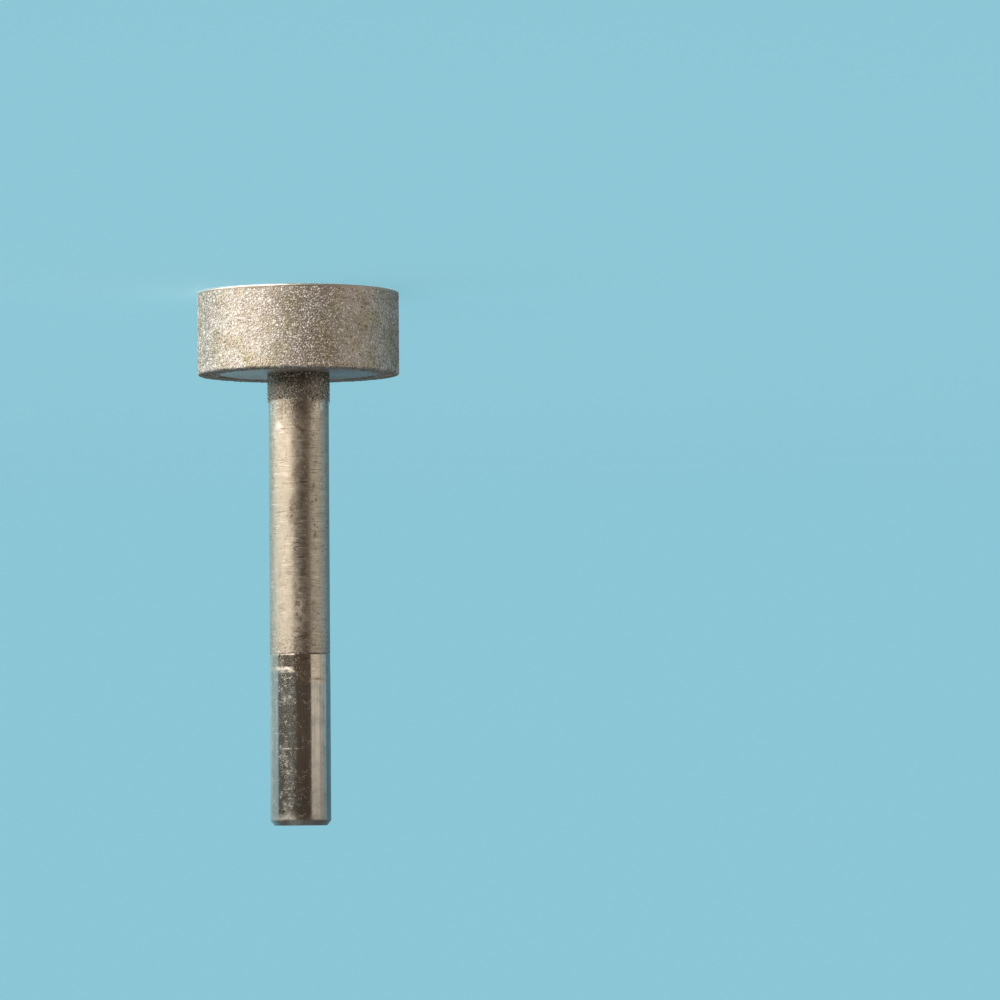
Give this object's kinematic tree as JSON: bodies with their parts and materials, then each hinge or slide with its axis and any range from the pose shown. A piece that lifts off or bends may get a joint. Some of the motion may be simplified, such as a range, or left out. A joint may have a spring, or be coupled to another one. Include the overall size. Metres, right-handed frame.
{
  "type": "t-shaped diamond grinding wheel",
  "caption": "T-shaped grinding wheel: a flat round steel head coated with nickel-bonded diamond grit, on a straight shank whose bare tail goes in a collet.",
  "frame": {"origin": "centre of the wheel's front face, on which it stands", "axes": "+Z runs along the axis from the front face to the shank's tail; X and Y are equal"},
  "size_m": [0.02, 0.02, 0.0528],
  "materials": {
    "blank_steel": "turned and nickel-plated to a satin shine, ground bright and bare at the tail",
    "diamond_grit": "single layer of pale diamond grit standing out of dull plated nickel"
  },
  "bodies": {
    "root": {"steel_blank": "blank_steel", "diamond_layer": "diamond_grit", "grit_collar": "diamond_grit"}
  },
  "joints": []
}
